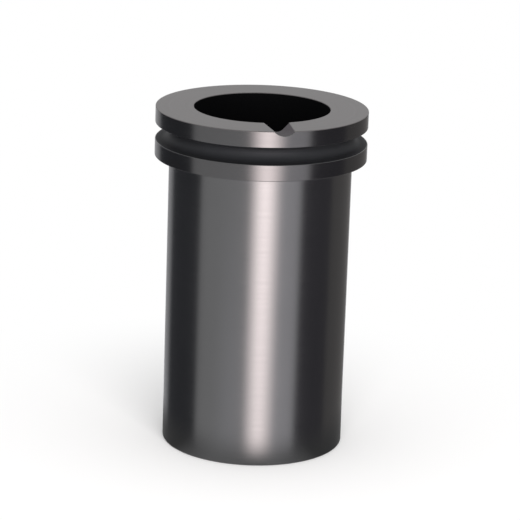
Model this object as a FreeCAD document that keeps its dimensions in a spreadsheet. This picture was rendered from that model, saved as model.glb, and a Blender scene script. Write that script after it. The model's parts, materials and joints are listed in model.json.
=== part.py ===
import FreeCAD, Part
import math
import os
import Sketcher

# Graphite crucible for a small electric melting furnace, turned from one bar.
# It hangs in the furnace by its collar and is lifted by tongs that close in the
# groove between the collar and the rim.  Own frame: +Z up, origin at the centre
# of the base, pour spout towards -Y.  Millimetres and degrees.

NODE = "crucible"

SIZES = {
    "height": 127.0,  # base to top of rim
    "body_dia": 67.3,  # part that hangs inside the furnace
    "head_dia": 78.0,  # rim and collar, left at the diameter of the bar
    "rim_thick": 6.0,  # rim, down from the top face
    "groove_width": 6.2,  # tong groove, between rim and collar
    "groove_depth": 5.3,  # tong groove, in from the head diameter
    "collar_thick": 6.0,  # collar that sits on the furnace
    "bore_dia": 50.0,  # melt chamber
    "floor_thick": 12.0,  # graphite under the melt
    "floor_radius": 6.0,  # corner between the chamber's wall and floor
    "mouth_radius": 0.4,  # corners of the top face and of the spout
    "head_chamfer": 0.4,  # other outer corners of the rim and collar
    "base_chamfer": 0.8,  # corner round the base
    "spout_angle": 90.0,  # between the two flanks of the spout
    "spout_depth": 3.3,  # spout at the wall of the bore
    "spout_radius": 3.3,  # bottom of the spout at the wall of the bore
    "lip_depth": 1.6,  # spout at the outside of the rim
    "lip_radius": 5.0,  # bottom of the spout at the outside of the rim
}

# What several features share, as expressions of the sheet.
BODY_R = "Sizes.body_dia / 2"
HEAD_R = "Sizes.head_dia / 2"
BORE_R = "Sizes.bore_dia / 2"
ROOT_R = "Sizes.head_dia / 2 - Sizes.groove_depth"
HEIGHT = "Sizes.height"
RIM_BOTTOM = "Sizes.height - Sizes.rim_thick"
COLLAR_TOP = "Sizes.height - Sizes.rim_thick - Sizes.groove_width"
COLLAR_BOTTOM = "Sizes.height - Sizes.rim_thick - Sizes.groove_width - Sizes.collar_thick"
WALL = "(Sizes.head_dia - Sizes.bore_dia) / 2"

FILLET = "PartDesign::Fillet"
CHAMFER = "PartDesign::Chamfer"
TOUCH = 1e-4  # two places closer than this are one place


def make_sheet(doc):
    """One row for each driving dimension: its name, its value and its alias."""
    sheet = doc.addObject("Spreadsheet::Sheet", "Sizes")
    for row, (alias, value) in enumerate(SIZES.items(), start=1):
        sheet.set(f"A{row}", alias)
        sheet.set(f"B{row}", str(value))
        sheet.setAlias(f"B{row}", alias)
    doc.recompute()


def value(thing, expression):
    """What an expression of the sheet comes to."""
    return float(thing.evalExpression(expression))


def new_sketch(body, name):
    """Sketch in the body's XZ plane: its x is the radius, its y is the height."""
    plane = next(f for f in body.Origin.OriginFeatures if f.Role == "XZ_Plane")
    sketch = body.newObject("Sketcher::SketchObject", name)
    sketch.AttachmentSupport = [(plane, "")]
    sketch.MapMode = "FlatFace"
    return sketch


def draw_outline(sketch, corners):
    """Closed outline of level and upright lines, one to each next corner."""
    points = [FreeCAD.Vector(value(sketch, x), value(sketch, z), 0) for x, z in corners]
    last = len(points) - 1
    for index, start in enumerate(points):
        end = points[0 if index == last else index + 1]
        line = sketch.addGeometry(Part.LineSegment(start, end), False)
        level = abs(start.y - end.y) < TOUCH
        sketch.addConstraint(Sketcher.Constraint("Horizontal" if level else "Vertical", line))
    for line in range(last):
        sketch.addConstraint(Sketcher.Constraint("Coincident", line, 2, line + 1, 1))
    sketch.addConstraint(Sketcher.Constraint("Coincident", last, 2, 0, 1))


def bind(sketch, name, kind, places, expression):
    """Add a named length to the sketch and tie it to the sheet."""
    length = value(sketch, expression)
    index = sketch.addConstraint(Sketcher.Constraint(kind, *places, length))
    sketch.renameConstraint(index, name)
    sketch.setExpression(f"Constraints.{name}", expression)


def turn(body, kind, name, sketch):
    """Full turn of the sketch about the body's axis, adding or cutting."""
    feature = body.newObject(kind, name)
    feature.Profile = sketch
    feature.ReferenceAxis = (sketch, ["V_Axis"])
    feature.Angle = 360.0
    body.Document.recompute()
    return feature


def make_blank(body):
    """Stepped bar: the body, with the head standing proud at its top."""
    sketch = new_sketch(body, "BlankProfile")
    draw_outline(sketch, [
        ("0", "0"),
        (BODY_R, "0"),
        (BODY_R, COLLAR_BOTTOM),
        (HEAD_R, COLLAR_BOTTOM),
        (HEAD_R, HEIGHT),
        ("0", HEIGHT),
    ])
    sketch.addConstraint(Sketcher.Constraint("Coincident", 0, 1, -1, 1))
    bind(sketch, "body_r", "DistanceX", (0, 1, 0, 2), BODY_R)
    bind(sketch, "head_r", "DistanceX", (4, 2, 4, 1), HEAD_R)
    bind(sketch, "shoulder", "DistanceY", (1, 1, 1, 2), COLLAR_BOTTOM)
    bind(sketch, "height", "DistanceY", (5, 2, 5, 1), HEIGHT)
    return turn(body, "PartDesign::Revolution", "Blank", sketch)


def cut_tong_groove(body):
    """Square groove that parts the head into a rim and a collar."""
    clear_r = f"{HEAD_R} + Sizes.groove_depth"
    sketch = new_sketch(body, "TongGrooveProfile")
    draw_outline(sketch, [
        (ROOT_R, COLLAR_TOP),
        (clear_r, COLLAR_TOP),
        (clear_r, RIM_BOTTOM),
        (ROOT_R, RIM_BOTTOM),
    ])
    bind(sketch, "root_r", "DistanceX", (-1, 1, 0, 1), ROOT_R)
    bind(sketch, "clear_r", "DistanceX", (-1, 1, 0, 2), clear_r)
    bind(sketch, "width", "DistanceY", (1, 1, 1, 2), "Sizes.groove_width")
    bind(sketch, "top", "DistanceY", (-1, 1, 1, 2), RIM_BOTTOM)
    return turn(body, "PartDesign::Groove", "TongGroove", sketch)


def cut_melt_bore(body):
    """Straight chamber for the melt, open at the top."""
    sketch = new_sketch(body, "MeltBoreProfile")
    draw_outline(sketch, [
        ("0", "Sizes.floor_thick"),
        (BORE_R, "Sizes.floor_thick"),
        (BORE_R, HEIGHT),
        ("0", HEIGHT),
    ])
    sketch.addConstraint(Sketcher.Constraint("PointOnObject", 0, 1, -2))
    bind(sketch, "bore_r", "DistanceX", (0, 1, 0, 2), BORE_R)
    bind(sketch, "floor", "DistanceY", (-1, 1, 0, 1), "Sizes.floor_thick")
    bind(sketch, "mouth", "DistanceY", (-1, 1, 1, 2), HEIGHT)
    return turn(body, "PartDesign::Groove", "MeltBore", sketch)


def draw_spout_section(body, name, station, depth, radius):
    """Rounded V, open upwards, across the spout at its station along -Y."""
    sketch = new_sketch(body, name)
    sketch.setExpression("AttachmentOffset.Base.z", station)
    centre = f"Sizes.height - ({depth}) + ({radius})"
    above = "Sizes.height + Sizes.lip_depth"
    half_angle = math.radians(value(sketch, "Sizes.spout_angle") / 2)
    centre_z = value(sketch, centre)
    top_z = value(sketch, above)
    round_r = value(sketch, radius)
    touch_x = round_r * math.cos(half_angle)
    touch_z = centre_z - round_r * math.sin(half_angle)
    top_x = touch_x + (top_z - touch_z) * math.tan(half_angle)
    left_top = FreeCAD.Vector(-top_x, top_z, 0)
    left_touch = FreeCAD.Vector(-touch_x, touch_z, 0)
    bottom = FreeCAD.Vector(0, centre_z - round_r, 0)
    right_touch = FreeCAD.Vector(touch_x, touch_z, 0)
    right_top = FreeCAD.Vector(top_x, top_z, 0)

    left = sketch.addGeometry(Part.LineSegment(left_top, left_touch), False)
    arc = sketch.addGeometry(Part.Arc(left_touch, bottom, right_touch), False)
    right = sketch.addGeometry(Part.LineSegment(right_touch, right_top), False)
    lid = sketch.addGeometry(Part.LineSegment(right_top, left_top), False)
    sketch.addConstraint(Sketcher.Constraint("Tangent", left, 2, arc, 1))
    sketch.addConstraint(Sketcher.Constraint("Tangent", arc, 2, right, 1))
    sketch.addConstraint(Sketcher.Constraint("Coincident", right, 2, lid, 1))
    sketch.addConstraint(Sketcher.Constraint("Coincident", lid, 2, left, 1))
    sketch.addConstraint(Sketcher.Constraint("PointOnObject", arc, 3, -2))
    sketch.addConstraint(Sketcher.Constraint("Symmetric", left, 1, right, 2, -2))
    flank = sketch.addConstraint(Sketcher.Constraint("Angle", right, math.pi / 2 - half_angle))
    sketch.renameConstraint(flank, "flank")
    sketch.setExpression("Constraints.flank", "(90 - Sizes.spout_angle / 2) * 1 deg")
    bind(sketch, "round_r", "Radius", (arc,), radius)
    bind(sketch, "centre", "DistanceY", (-1, 1, arc, 3), centre)
    bind(sketch, "above", "DistanceY", (-1, 1, lid, 1), above)
    return sketch


def cut_spout(body):
    """Pouring notch that grows shallower and rounder towards the outside.

    Its two sections stand clear of the wall, each by its own depth, and carry
    on the change of depth and radius that the sheet gives between the wall's faces.
    """
    fall = f"(Sizes.spout_depth - Sizes.lip_depth) / ({WALL})"
    spread = f"(Sizes.lip_radius - Sizes.spout_radius) / ({WALL})"
    inner = draw_spout_section(
        body,
        "SpoutInside",
        f"{BORE_R} - Sizes.spout_depth",
        f"Sizes.spout_depth + Sizes.spout_depth * {fall}",
        f"Sizes.spout_radius - Sizes.spout_depth * {spread}",
    )
    outer = draw_spout_section(
        body,
        "SpoutOutside",
        f"{HEAD_R} + Sizes.lip_depth",
        f"Sizes.lip_depth - Sizes.lip_depth * {fall}",
        f"Sizes.lip_radius + Sizes.lip_depth * {spread}",
    )
    feature = body.newObject("PartDesign::SubtractiveLoft", "PourSpout")
    feature.Profile = inner
    feature.Sections = [outer]
    feature.Ruled = True
    body.Document.recompute()
    return feature


def ring_edges(feature, rings):
    """Names of the feature's circular edges at the given radii and heights."""
    wanted = [(value(feature, radius), value(feature, z)) for radius, z in rings]
    names = []
    for number, edge in enumerate(feature.Shape.Edges, start=1):
        if not isinstance(edge.Curve, Part.Circle):
            continue
        ring = edge.Curve
        for radius, z in wanted:
            if abs(ring.Radius - radius) < TOUCH and abs(ring.Center.z - z) < TOUCH:
                names.append(f"Edge{number}")
    return names


def is_sharp(shape, edge):
    """True where the two faces beside the edge meet at an angle."""
    middle = edge.valueAt((edge.FirstParameter + edge.LastParameter) / 2)
    normals = []
    for face in shape.ancestorsOfType(edge, Part.Face):
        normals.append(face.normalAt(*face.Surface.parameter(middle)))
    return len(normals) == 2 and math.degrees(normals[0].getAngle(normals[1])) > 5


def mouth_edges(feature):
    """Names of the sharp edges above the bottom of the rim: rim, mouth and spout."""
    rim_bottom = value(feature, RIM_BOTTOM)
    names = []
    for number, edge in enumerate(feature.Shape.Edges, start=1):
        if edge.BoundBox.ZMin > rim_bottom + TOUCH and is_sharp(feature.Shape, edge):
            names.append(f"Edge{number}")
    return names


def break_edges(body, kind, name, edges, width):
    """Round or chamfer the given edges of the body's last feature."""
    last = body.Tip
    feature = body.newObject(kind, name)
    feature.Base = (last, edges)
    feature.setExpression("Radius" if kind == FILLET else "Size", width)
    body.Document.recompute()
    return feature


def check_features(doc, body):
    """Stop if a feature failed, or if a cut or a rounding changed nothing."""
    for thing in doc.Objects:
        if "Invalid" in thing.State or "Error" in thing.State:
            raise RuntimeError(f"{thing.Name} failed: {thing.State}")
    before = None
    for feature in body.Group:
        if not feature.isDerivedFrom("PartDesign::Feature"):
            continue
        volume = feature.Shape.Volume
        if before is not None and abs(volume - before) < TOUCH:
            raise RuntimeError(f"{feature.Name} changes nothing")
        print(f"{feature.Name}: {volume:.1f} mm3")
        before = volume
    shape = body.Shape
    if shape.isNull() or not shape.isValid() or len(shape.Solids) != 1:
        raise RuntimeError("the crucible is not one sound solid")


def make_crucible(doc):
    """The whole crucible as one body."""
    body = doc.addObject("PartDesign::Body", "Crucible")
    body.Label = NODE
    body.Placement = FreeCAD.Placement()
    doc.recompute()
    make_blank(body)
    groove = cut_tong_groove(body)
    head = ring_edges(groove, [(HEAD_R, RIM_BOTTOM), (HEAD_R, COLLAR_TOP), (HEAD_R, COLLAR_BOTTOM)])
    chamfered = break_edges(body, CHAMFER, "HeadChamfers", head, "Sizes.head_chamfer")
    foot = ring_edges(chamfered, [(BODY_R, "0")])
    break_edges(body, CHAMFER, "BaseChamfer", foot, "Sizes.base_chamfer")
    bore = cut_melt_bore(body)
    floor = ring_edges(bore, [(BORE_R, "Sizes.floor_thick")])
    break_edges(body, FILLET, "FloorRound", floor, "Sizes.floor_radius")
    spout = cut_spout(body)
    break_edges(body, FILLET, "MouthRounds", mouth_edges(spout), "Sizes.mouth_radius")
    return body


doc = FreeCAD.newDocument("Crucible")
make_sheet(doc)
crucible = make_crucible(doc)
check_features(doc, crucible)
os.makedirs("parts", exist_ok=True)
crucible.Shape.exportStep(f"parts/{NODE}.step")
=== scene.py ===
import json
import math

import bmesh
import bpy
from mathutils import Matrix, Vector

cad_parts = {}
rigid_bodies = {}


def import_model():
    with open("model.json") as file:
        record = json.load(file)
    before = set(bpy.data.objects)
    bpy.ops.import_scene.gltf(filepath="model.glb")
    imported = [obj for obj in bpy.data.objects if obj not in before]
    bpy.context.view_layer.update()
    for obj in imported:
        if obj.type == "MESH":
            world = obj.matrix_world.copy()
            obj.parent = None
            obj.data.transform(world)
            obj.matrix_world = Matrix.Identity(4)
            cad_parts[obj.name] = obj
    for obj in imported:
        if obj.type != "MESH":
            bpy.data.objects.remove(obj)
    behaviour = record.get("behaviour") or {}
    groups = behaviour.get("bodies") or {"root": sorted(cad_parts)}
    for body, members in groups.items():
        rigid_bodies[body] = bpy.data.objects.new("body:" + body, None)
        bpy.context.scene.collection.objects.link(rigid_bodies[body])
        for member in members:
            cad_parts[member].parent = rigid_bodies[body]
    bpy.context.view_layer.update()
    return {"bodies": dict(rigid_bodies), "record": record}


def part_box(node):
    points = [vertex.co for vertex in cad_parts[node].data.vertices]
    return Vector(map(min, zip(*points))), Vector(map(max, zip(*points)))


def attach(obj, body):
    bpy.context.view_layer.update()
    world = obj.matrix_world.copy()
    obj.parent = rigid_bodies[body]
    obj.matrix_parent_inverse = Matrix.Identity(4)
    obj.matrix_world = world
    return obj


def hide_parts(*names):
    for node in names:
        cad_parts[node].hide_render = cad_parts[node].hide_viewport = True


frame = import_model()
mounts = {mount["name"]: mount for mount in frame["record"]["mounts"]}
rightAngle = math.pi / 2
tolerance = 0.00001


# selecting in code: the tests are by place and normal

def startFresh():
    if bpy.context.object and bpy.context.object.mode != "OBJECT":
        bpy.ops.object.mode_set(mode="OBJECT")
    bpy.ops.object.select_all(action="DESELECT")


def pick(piece, kind, test):
    bpy.ops.mesh.select_all(action="DESELECT")
    bpy.ops.mesh.select_mode(type=kind)
    mesh = bmesh.from_edit_mesh(piece.data)
    for part in {"VERT": mesh.verts, "EDGE": mesh.edges, "FACE": mesh.faces}[kind]:
        if test(part):
            part.select_set(True)
    mesh.select_flush_mode()
    bmesh.update_edit_mesh(piece.data)


def near(a, b):
    return abs(a - b) < tolerance


# the crucible: raised ring by ring from its base, then rounded, then notched

def recordSize(mount, size):
    return mounts[mount]["dims"][size] / 1000


crucibleSizes = {
    "topZ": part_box("crucible")[1].z,
    "headRadius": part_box("crucible")[1].x,
    "bodyRadius": recordSize("body_shank", "r_mm"),
    "boreRadius": recordSize("melt_bore", "r_mm"),
    "grooveRadius": recordSize("tong_groove", "r_mm"),
    "grooveWidth": recordSize("tong_groove", "length_mm"),
    "grooveZ": mounts["tong_groove"]["pos_m"][2],
    "collarZ": mounts["collar_seat"]["pos_m"][2],
    "floorZ": 0.012,
    "floorRound": 0.006,
    "edgeRound": 0.00025,  # outer corners of the head, the mouth and the spout
    "grooveRound": 0.0030,  # inner corners of the tong groove
    "collarRound": 0.0004,  # inner corner under the collar
    "baseRound": 0.0008,
    "segments": 288,
    "smoothUpTo": 35,  # degrees between two faces that shade as one surface
}
roundSteps = {"floor": 12, "edge": 3, "groove": 5, "collar": 3, "base": 4}
grooveTop = crucibleSizes["grooveZ"] + crucibleSizes["grooveWidth"] / 2
grooveFoot = crucibleSizes["grooveZ"] - crucibleSizes["grooveWidth"] / 2


def roundRings(piece, rings, size, steps):
    def onRing(edge):
        return any(
            near(edge.verts[0].co.xy.length, radius) and near(edge.verts[1].co.xy.length, radius)
            and near(edge.verts[0].co.z, z) and near(edge.verts[1].co.z, z)
            for radius, z in rings
        )

    pick(piece, "EDGE", onRing)
    bpy.ops.mesh.bevel(offset=size, segments=steps, affect="EDGES")


def turnCrucible(sizes):
    profile = [
        (sizes["bodyRadius"], 0),
        (sizes["bodyRadius"], sizes["collarZ"]),
        (sizes["headRadius"], sizes["collarZ"]),
        (sizes["headRadius"], grooveFoot),
        (sizes["grooveRadius"], grooveFoot),
        (sizes["grooveRadius"], grooveTop),
        (sizes["headRadius"], grooveTop),
        (sizes["headRadius"], sizes["topZ"]),
        (sizes["boreRadius"], sizes["topZ"]),
        (sizes["boreRadius"], sizes["floorZ"]),
    ]
    startFresh()
    bpy.ops.mesh.primitive_circle_add(
        vertices=sizes["segments"], radius=sizes["bodyRadius"], fill_type="NGON",
        location=(0, 0, 0), enter_editmode=True)
    piece = bpy.context.object
    piece.name = piece.data.name = "turnedCrucible"
    for (oldRadius, oldZ), (radius, z) in zip(profile, profile[1:]):
        bpy.ops.mesh.extrude_region_move(TRANSFORM_OT_translate={"value": (0, 0, z - oldZ)})
        grow = radius / oldRadius
        bpy.ops.transform.resize(value=(grow, grow, 1), center_override=(0, 0, 0))
    bpy.ops.mesh.select_all(action="SELECT")
    bpy.ops.mesh.remove_doubles(threshold=tolerance / 10)
    bpy.ops.mesh.normals_make_consistent(inside=False)
    body, bore, collarZ = sizes["bodyRadius"], sizes["boreRadius"], sizes["collarZ"]
    head, groove = sizes["headRadius"], sizes["grooveRadius"]
    corners = {
        "floor": [(bore, sizes["floorZ"])],
        "edge": [(head, grooveTop), (head, grooveFoot), (head, collarZ)],
        "groove": [(groove, grooveTop), (groove, grooveFoot)],
        "collar": [(body, collarZ)],
        "base": [(body, 0)],
    }
    for name, rings in corners.items():
        roundRings(piece, rings, sizes[name + "Round"], roundSteps[name])
    bpy.ops.object.mode_set(mode="OBJECT")
    return piece


spoutSizes = {
    "boreDepth": 0.0033,  # at the wall of the bore
    "boreRound": 0.0033,
    "lipDepth": 0.0016,  # at the outside of the rim
    "lipRound": 0.0050,
    "flankLength": 0.0060,
    "pastWall": 0.0030,  # the cutter stands this far out of the wall at both ends
    "circleSegments": 96,
    "sharpFrom": 20,  # degrees at an edge that the cut leaves
}


def makeSpoutCutter(sizes, spout):
    wall = sizes["headRadius"] - sizes["boreRadius"]
    past = spout["pastWall"]
    rise = (spout["boreDepth"] - spout["lipDepth"]) / wall
    spread = (spout["lipRound"] - spout["boreRound"]) / wall
    startY, endY = past - sizes["boreRadius"], -past - sizes["headRadius"]
    startDepth, endDepth = spout["boreDepth"] + rise * past, spout["lipDepth"] - rise * past
    startRound, endRound = spout["boreRound"] - spread * past, spout["lipRound"] + spread * past
    centreZ = sizes["topZ"] - startDepth + startRound
    flankZ = centreZ - startRound * math.cos(rightAngle / 2)
    startFresh()
    bpy.ops.mesh.primitive_circle_add(
        vertices=spout["circleSegments"], radius=startRound,
        location=(0, startY, centreZ), rotation=(rightAngle, 0, 0))
    cutter = bpy.context.object
    bpy.ops.object.transform_apply(location=True, rotation=True, scale=True)
    bpy.ops.object.mode_set(mode="EDIT")
    pick(cutter, "VERT", lambda vert: vert.co.z > flankZ + tolerance)
    bpy.ops.mesh.delete(type="VERT")
    for side in (-1, 1):  # the two flanks go on from the round, 90 degrees apart
        pick(cutter, "VERT", lambda vert: near(vert.co.z, flankZ) and vert.co.x * side > 0)
        flank = (side * spout["flankLength"], 0, spout["flankLength"])
        bpy.ops.mesh.extrude_vertices_move(TRANSFORM_OT_translate={"value": flank})
    bpy.ops.mesh.select_all(action="SELECT")
    bpy.ops.mesh.edge_face_add()
    toLip = (0, endY - startY, startDepth - endDepth)
    bpy.ops.mesh.extrude_region_move(TRANSFORM_OT_translate={"value": toLip})
    grow = endRound / startRound
    bpy.ops.transform.resize(
        value=(grow, 1, grow), center_override=(0, endY, sizes["topZ"] - endDepth))
    bpy.ops.mesh.select_all(action="SELECT")
    bpy.ops.mesh.normals_make_consistent(inside=False)
    bpy.ops.object.mode_set(mode="OBJECT")
    return cutter


def cutSpout(piece, sizes, spout):
    cutter = makeSpoutCutter(sizes, spout)
    startFresh()
    piece.select_set(True)
    bpy.context.view_layer.objects.active = piece
    bpy.ops.object.modifier_add(type="BOOLEAN")
    cut = piece.modifiers[-1]
    cut.operation = "DIFFERENCE"
    cut.solver = "EXACT"
    cut.object = cutter
    bpy.ops.object.modifier_apply(modifier=cut.name)
    bpy.data.objects.remove(cutter)
    bpy.ops.object.mode_set(mode="EDIT")
    pick(piece, "FACE", lambda face: face.normal.z > 0.999
         and near(face.calc_center_median().z, sizes["topZ"]))
    bpy.ops.mesh.dissolve_faces()
    rimSideZ = grooveTop + 2 * sizes["edgeRound"]
    pick(piece, "EDGE", lambda edge: edge.calc_face_angle() > math.radians(spout["sharpFrom"])
         and min(vert.co.z for vert in edge.verts) > rimSideZ)
    bpy.ops.mesh.bevel(
        offset=sizes["edgeRound"], segments=roundSteps["edge"], affect="EDGES", clamp_overlap=False)
    bpy.ops.object.mode_set(mode="OBJECT")


def smoothOver(piece, sizes):
    bpy.ops.object.shade_smooth_by_angle(angle=math.radians(sizes["smoothUpTo"]))
    bpy.ops.object.modifier_add(type="WEIGHTED_NORMAL")
    piece.modifiers[-1].keep_sharp = True
    bpy.ops.object.modifier_apply(modifier=piece.modifiers[-1].name)


crucible = turnCrucible(crucibleSizes)
cutSpout(crucible, crucibleSizes, spoutSizes)
smoothOver(crucible, crucibleSizes)
print("crucible turned and notched:", len(crucible.data.polygons), "faces")


# graphite: one kind of nodes, six finishes; the dark tones of the groove and the bore are painted
# shade, the lighter, warmer top is painted light

finishes = {
    "turnedBody": {
        "dark": (0.113, 0.113, 0.115), "light": (0.127, 0.127, 0.130), "metal": 1.0,
        "smoothest": 0.20, "roughest": 0.24, "edgeTint": 0.8, "gloss": 0.5,
        "lineDepth": 0.0000005, "grainDepth": 0.0000012,
    },
    "headSides": {  # sides of the rim and collar, darker and a little smoother than the body
        "dark": (0.086, 0.085, 0.087), "light": (0.098, 0.097, 0.099), "metal": 1.0,
        "smoothest": 0.18, "roughest": 0.22, "edgeTint": 0.8, "gloss": 0.5,
        "lineDepth": 0.0000005, "grainDepth": 0.0000012,
    },
    "facedTop": {  # the top face and the rounds of the mouth; their lighter, warmer tone is painted light from above and behind
        "dark": (0.112, 0.105, 0.106), "light": (0.160, 0.150, 0.152), "metal": 1.0,
        "smoothest": 0.34, "roughest": 0.37, "edgeTint": 0.84, "gloss": 0.5,
        "lineDepth": 0.0000016, "grainDepth": 0.0000030,
    },
    # the groove's dark tone is painted shade in the recess; its dull roughness is the surface's own
    "dullGrooveInPaintedShade": {
        "dark": (0.029, 0.030, 0.033), "light": (0.037, 0.038, 0.042), "metal": 0.6,
        "smoothest": 0.50, "roughest": 0.58, "edgeTint": 0.5, "gloss": 0.2,
        "lineDepth": 0.0000030, "grainDepth": 0.0000050,
    },
    "milledSpout": {
        "dark": (0.080, 0.074, 0.080), "light": (0.170, 0.156, 0.168), "metal": 1.0,
        "smoothest": 0.45, "roughest": 0.55, "edgeTint": 0.5, "gloss": 0.5,
        "lineDepth": 0.0000030, "grainDepth": 0.0000060,
    },
    # the bore's near-black tone is painted shade deep in the hollow
    "boreInPaintedShade": {
        "dark": (0.009, 0.009, 0.010), "light": (0.012, 0.012, 0.013), "metal": 1.0,
        "smoothest": 0.58, "roughest": 0.68, "edgeTint": 0.5, "gloss": 0.5,
        "lineDepth": 0.0000040, "grainDepth": 0.0000050,
    },
}

patternSizes = {  # all per millimetre
    "lines": 5.0,  # marks that the tool leaves round the piece
    "bands": 0.7,  # broader rings of the same passes
    "grain": 2.4,
    "clouds": 0.045,
}
toneShares = {"lines": 0.35, "grain": 0.35, "clouds": 0.3}
noiseSpan = (0.3, 0.7)  # nearly all of a noise lies between these


def addNode(tree, kind, inputs=None, **settings):
    node = tree.nodes.new(kind)
    for name, value in settings.items():
        setattr(node, name, value)
    for name, value in (inputs or {}).items():
        if isinstance(value, bpy.types.NodeSocket):
            tree.links.new(value, node.inputs[name])
        else:
            node.inputs[name].default_value = value
    return node


def sums(tree, operation, *values):
    inputs = dict(enumerate(values))
    return addNode(tree, "ShaderNodeMath", inputs, operation=operation).outputs["Value"]


def spreadOut(tree, value, low, high):
    inputs = {
        "Value": value, "From Min": noiseSpan[0], "From Max": noiseSpan[1],
        "To Min": low, "To Max": high}
    return addNode(tree, "ShaderNodeMapRange", inputs).outputs["Result"]


def noise(tree, size, detail, **place):
    inputs = {"Scale": size, "Detail": detail, **place}
    dimensions = "1D" if "W" in place else "3D"
    return addNode(tree, "ShaderNodeTexNoise", inputs, noise_dimensions=dimensions).outputs["Fac"]


def graphite(name, finish, pattern):
    material = bpy.data.materials.new(name)
    material.use_nodes = True
    tree = material.node_tree
    shader = tree.nodes["Principled BSDF"]
    corner = addNode(tree, "ShaderNodeTexCoord").outputs["Object"]
    place = addNode(
        tree, "ShaderNodeVectorMath", {0: corner, "Scale": 1000}, operation="SCALE"
    ).outputs["Vector"]
    parts = addNode(tree, "ShaderNodeSeparateXYZ", {"Vector": place}).outputs
    square = sums(tree, "ADD", sums(tree, "POWER", parts["X"], 2), sums(tree, "POWER", parts["Y"], 2))
    along = sums(tree, "ADD", parts["Z"], sums(tree, "SQRT", square))
    lines = noise(tree, pattern["lines"], 2, W=along)
    bands = noise(tree, pattern["bands"], 1, W=along)
    grain = noise(tree, pattern["grain"], 3, Vector=place)
    clouds = noise(tree, pattern["clouds"], 2, Vector=place)
    mixed = sums(tree, "MULTIPLY", grain, toneShares["grain"])
    mixed = sums(tree, "MULTIPLY_ADD", lines, toneShares["lines"], mixed)
    mixed = sums(tree, "MULTIPLY_ADD", clouds, toneShares["clouds"], mixed)
    tone = addNode(
        tree, "ShaderNodeMix",
        {0: spreadOut(tree, mixed, 0, 1), 6: (*finish["dark"], 1), 7: (*finish["light"], 1)},
        data_type="RGBA"
    ).outputs[2]
    dullSpots = sums(tree, "MULTIPLY", sums(tree, "ADD", bands, clouds), 0.5)
    roughness = spreadOut(tree, dullSpots, finish["smoothest"], finish["roughest"])
    lineBump = addNode(
        tree, "ShaderNodeBump", {"Height": lines, "Distance": finish["lineDepth"]}
    ).outputs["Normal"]
    grainBump = addNode(
        tree, "ShaderNodeBump",
        {"Height": grain, "Distance": finish["grainDepth"], "Normal": lineBump}
    ).outputs["Normal"]
    tree.links.new(tone, shader.inputs["Base Color"])
    tree.links.new(roughness, shader.inputs["Roughness"])
    tree.links.new(grainBump, shader.inputs["Normal"])
    shader.inputs["Metallic"].default_value = finish["metal"]
    shader.inputs["Specular Tint"].default_value = (*[finish["edgeTint"]] * 3, 1)
    shader.inputs["Specular IOR Level"].default_value = finish["gloss"]
    return material


def finishFaces(piece, sizes):
    bore, head, top = sizes["boreRadius"], sizes["headRadius"], sizes["topZ"]
    edge = sizes["edgeRound"]
    slack = edge / 4
    places = {
        "turnedBody": lambda radius, z: True,
        "headSides": lambda radius, z: radius > head - edge and z > sizes["collarZ"],
        "facedTop": lambda radius, z: z > top - edge,
        "dullGrooveInPaintedShade": lambda radius, z: radius < head - edge
        and grooveFoot - slack < z < grooveTop + slack,
        "milledSpout": lambda radius, z: bore + edge < radius < head - edge
        and grooveTop + edge < z < top - edge,
        "boreInPaintedShade": lambda radius, z: radius < bore + slack
        and sizes["floorZ"] / 2 < z < top - 0.8 * edge,
    }
    bpy.ops.object.mode_set(mode="EDIT")
    for name, isThere in places.items():
        bpy.ops.object.material_slot_add()
        piece.active_material = graphite(name, finishes[name], patternSizes)
        pick(piece, "FACE", lambda face: isThere(
            face.calc_center_median().xy.length, face.calc_center_median().z))
        bpy.ops.object.material_slot_assign()
    bpy.ops.object.mode_set(mode="OBJECT")


finishFaces(crucible, crucibleSizes)
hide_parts("crucible")
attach(crucible, list(frame["bodies"])[0])
print("graphite finishes on:", ", ".join(slot.name for slot in crucible.material_slots))


# the studio: a white room, one soft lamp, and cards that only polished faces mirror

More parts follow.
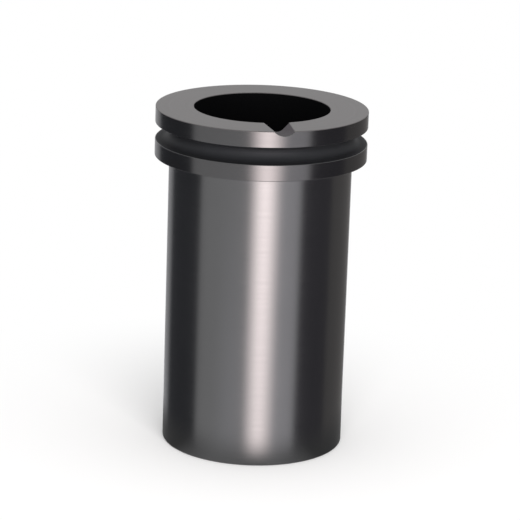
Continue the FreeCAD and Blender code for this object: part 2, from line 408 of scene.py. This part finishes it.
studio = {
    "white": 1.0,  # what the camera and the polished faces see of the room
    "fill": 0.8,  # what the room gives to dull faces
    "floorTone": (0.93, 0.93, 0.93, 1),
    "whiteFrom": 0.05,
    "whiteBy": 0.16,
    "floorRadius": 5,
    "discSegments": 128,
}
footShade = {
    "radius": 0.075, "fullUpTo": 0.036, "goneBy": 0.070,
    "glowAhead": 0.68, "glowAside": 0.22, "aheadAzimuth": -18,
    "asideFrom": 0.55, "aheadFrom": 0.92,  # cosines of the angle from straight ahead
}
lamp = {
    "azimuth": -4.5, "distance": 1.5, "z": 0.65, "wide": 1.2, "tall": 0.8,
    "power": 26, "tone": (1, 0.98, 0.97),
}
cards = {  # widths in degrees; softSides is a share of half the width, the rest are metres
    "keyCard": {
        "azimuth": -5, "width": 45, "distance": 1.2, "foot": -1.1, "top": 0.3,
        "softSides": 1.0, "softFoot": 1.08, "softTop": 0.38, "glow": 9.3, "tone": (1, 0.89, 0.87),
    },
    "fillCard": {
        "azimuth": -38, "width": 60, "distance": 1.35, "foot": -2.2, "top": -0.2,
        "softSides": 1.0, "softFoot": 0.18, "softTop": 0.18, "glow": 1.27, "tone": (1, 1, 1.03),
    },
    "sideCard": {
        "azimuth": 23, "width": 40, "distance": 1.3, "foot": -1.5, "top": 0.42,
        "softSides": 0.4, "softFoot": 0.45, "softTop": 0.3, "glow": 1.58, "tone": (1, 0.985, 1.02),
    },
    "leftFlag": {
        "azimuth": -120.5, "width": 65, "distance": 1.4, "foot": -1.7, "top": 0.42,
        "softSides": 0.12, "softFoot": 0.34, "softTop": 0.26, "glow": 0.14, "tone": (0.97, 1, 1.1),
    },
    "rightFlag": {
        "azimuth": 66, "width": 51, "distance": 1.4, "foot": -1.7, "top": 0.42,
        "softSides": 0.16, "softFoot": 0.34, "softTop": 0.26, "glow": 0.17, "tone": (1, 0.965, 1.08),
    },
    "backFlag": {
        "azimuth": 116, "width": 76, "distance": 1.5, "foot": -1.7, "top": 0.42,
        "softSides": 0.2, "softFoot": 0.34, "softTop": 0.26, "glow": 0.34, "tone": (1, 0.96, 0.94),
    },
    "backCard": {
        "azimuth": 180, "width": 74, "distance": 1.6, "foot": -2, "top": 0,
        "softSides": 0.3, "softFoot": 0.3, "softTop": 0.3, "glow": 0.68, "tone": (1, 1, 1.03),
    },
    "stripCard": {
        "azimuth": 167, "width": 30, "distance": 1.2, "foot": -1.7, "top": -0.1,
        "softSides": 1.0, "softFoot": 0.32, "softTop": 0.32, "glow": 4.0, "tone": (0.96, 0.98, 1),
    },
}


def around(azimuth, distance, z):
    angle = math.radians(azimuth)
    return (distance * math.sin(angle), -distance * math.cos(angle), z)


def seesRoom(tree):
    path = addNode(tree, "ShaderNodeLightPath").outputs
    polished = sums(tree, "MAXIMUM", path["Is Glossy Ray"], path["Is Transmission Ray"])
    return sums(tree, "MAXIMUM", path["Is Camera Ray"], polished)


def emptyMaterial(name):
    material = bpy.data.materials.new(name)
    material.use_nodes = True
    material.node_tree.nodes.remove(material.node_tree.nodes["Principled BSDF"])
    return material, material.node_tree, material.node_tree.nodes["Material Output"].inputs["Surface"]


def mixShaders(tree, share, first, second):
    inputs = {0: share, 1: first.outputs[0], 2: second.outputs[0]}
    return addNode(tree, "ShaderNodeMixShader", inputs)


def fadeOut(tree, value, fullUpTo, goneBy):
    inputs = {
        "Value": value, "From Min": fullUpTo, "From Max": goneBy, "To Min": 1, "To Max": 0}
    return addNode(
        tree, "ShaderNodeMapRange", inputs, interpolation_type="SMOOTHSTEP").outputs["Result"]


def reachOut(tree):
    corner = addNode(tree, "ShaderNodeTexCoord").outputs["Object"]
    return addNode(tree, "ShaderNodeVectorMath", {0: corner}, operation="LENGTH").outputs["Value"]


def lightRoom():
    world = bpy.data.worlds.new("whiteRoom")
    world.use_nodes = True
    world.cycles.sampling_method = "NONE"  # so that the flags shade the polished faces
    tree = world.node_tree
    inputs = {"Value": seesRoom(tree), "To Min": studio["fill"], "To Max": studio["white"]}
    strength = addNode(tree, "ShaderNodeMapRange", inputs).outputs["Result"]
    background = tree.nodes["Background"]
    background.inputs["Color"].default_value = (1, 1, 1, 1)
    tree.links.new(strength, background.inputs["Strength"])
    bpy.context.scene.world = world


def layDisc(name, radius, material):
    startFresh()
    bpy.ops.mesh.primitive_circle_add(
        vertices=studio["discSegments"], radius=radius, fill_type="NGON", location=(0, 0, 0))
    disc = bpy.context.object
    disc.name = name
    disc.data.materials.append(material)
    disc.visible_shadow = False
    return disc


def layFloor():
    material, tree, surface = emptyMaterial("paleFloor")
    matte = addNode(tree, "ShaderNodeBsdfDiffuse", {"Color": studio["floorTone"]})
    white = addNode(tree, "ShaderNodeEmission", {"Strength": studio["white"]})
    matteShare = fadeOut(tree, reachOut(tree), studio["whiteFrom"], studio["whiteBy"])
    share = sums(tree, "MULTIPLY", sums(tree, "SUBTRACT", 1, matteShare), seesRoom(tree))
    tree.links.new(mixShaders(tree, share, matte, white).outputs[0], surface)
    layDisc("floor", studio["floorRadius"], material).visible_glossy = False


def shadeFoot():
    material, tree, surface = emptyMaterial("footShade")
    clear = addNode(tree, "ShaderNodeBsdfTransparent")
    corner = addNode(tree, "ShaderNodeTexCoord").outputs["Object"]
    away = addNode(tree, "ShaderNodeVectorMath", {0: corner}, operation="NORMALIZE").outputs[0]
    facing = {0: away, 1: around(footShade["aheadAzimuth"], 1, 0)}
    ahead = addNode(tree, "ShaderNodeVectorMath", facing, operation="DOT_PRODUCT").outputs["Value"]
    inputs = {
        "Value": ahead, "From Min": footShade["asideFrom"], "From Max": footShade["aheadFrom"],
        "To Min": footShade["glowAside"], "To Max": footShade["glowAhead"]}
    glow = addNode(tree, "ShaderNodeMapRange", inputs).outputs["Result"]
    shade = addNode(tree, "ShaderNodeEmission", {"Strength": glow})
    share = fadeOut(tree, reachOut(tree), footShade["fullUpTo"], footShade["goneBy"])
    tree.links.new(mixShaders(tree, share, clear, shade).outputs[0], surface)
    disc = layDisc("footShade", footShade["radius"], material)
    disc.visible_camera = False
    disc.visible_diffuse = False
    disc.visible_transmission = False


def hangLamp():
    bpy.ops.object.light_add(
        type="AREA", location=around(lamp["azimuth"], lamp["distance"], lamp["z"]))
    light = bpy.context.object
    light.name = "softLamp"
    tilt = rightAngle - math.atan2(lamp["z"], lamp["distance"])
    light.rotation_euler = (tilt, 0, math.radians(lamp["azimuth"]))
    light.data.shape = "RECTANGLE"
    light.data.size, light.data.size_y = lamp["wide"], lamp["tall"]
    light.data.energy = lamp["power"]
    light.data.color = lamp["tone"]
    light.visible_camera = False
    light.visible_glossy = False


def standCard(name, card):
    wide = 2 * card["distance"] * math.tan(math.radians(card["width"] / 2))
    tall = card["top"] - card["foot"]
    middleZ = (card["top"] + card["foot"]) / 2
    startFresh()
    bpy.ops.mesh.primitive_plane_add(
        size=1, location=around(card["azimuth"], card["distance"], middleZ),
        rotation=(rightAngle, 0, math.radians(card["azimuth"])))
    plane = bpy.context.object
    plane.name = name
    plane.scale = (wide, tall, 1)
    material, tree, surface = emptyMaterial(name)
    clear = addNode(tree, "ShaderNodeBsdfTransparent")
    light = addNode(
        tree, "ShaderNodeEmission", {"Color": (*card["tone"], 1), "Strength": card["glow"]})
    corner = addNode(tree, "ShaderNodeTexCoord").outputs["UV"]
    parts = addNode(tree, "ShaderNodeSeparateXYZ", {"Vector": corner}).outputs
    across = sums(tree, "ABSOLUTE", sums(tree, "MULTIPLY_ADD", parts["X"], 2, -1))
    share = fadeOut(tree, across, 1 - card["softSides"], 1)
    down = sums(tree, "SUBTRACT", 1, parts["Y"])
    for value, soft in ((parts["Y"], card["softTop"] / tall), (down, card["softFoot"] / tall)):
        share = sums(tree, "MULTIPLY", share, fadeOut(tree, value, 1 - soft, 1))
    tree.links.new(mixShaders(tree, share, clear, light).outputs[0], surface)
    material.cycles.emission_sampling = "NONE"
    plane.data.materials.append(material)
    plane.visible_camera = False
    plane.visible_diffuse = False
    plane.visible_shadow = False


lightRoom()
layFloor()
shadeFoot()
hangLamp()
for name, card in cards.items():
    standCard(name, card)
print("studio set up")


# the camera, a little above the rim and off to the spout's left

cameraPlace = {
    "location": (-0.20693, -0.94117, 0.34281),
    "turn": (74.128, -1.869, -11.930),  # degrees; the middle one is a slight roll
    "lens": 186.76,
}
bpy.ops.object.camera_add(
    location=cameraPlace["location"],
    rotation=[math.radians(turn) for turn in cameraPlace["turn"]])
bpy.context.object.data.lens = cameraPlace["lens"]
bpy.context.scene.camera = bpy.context.object
bpy.context.scene.view_settings.view_transform = "Standard"
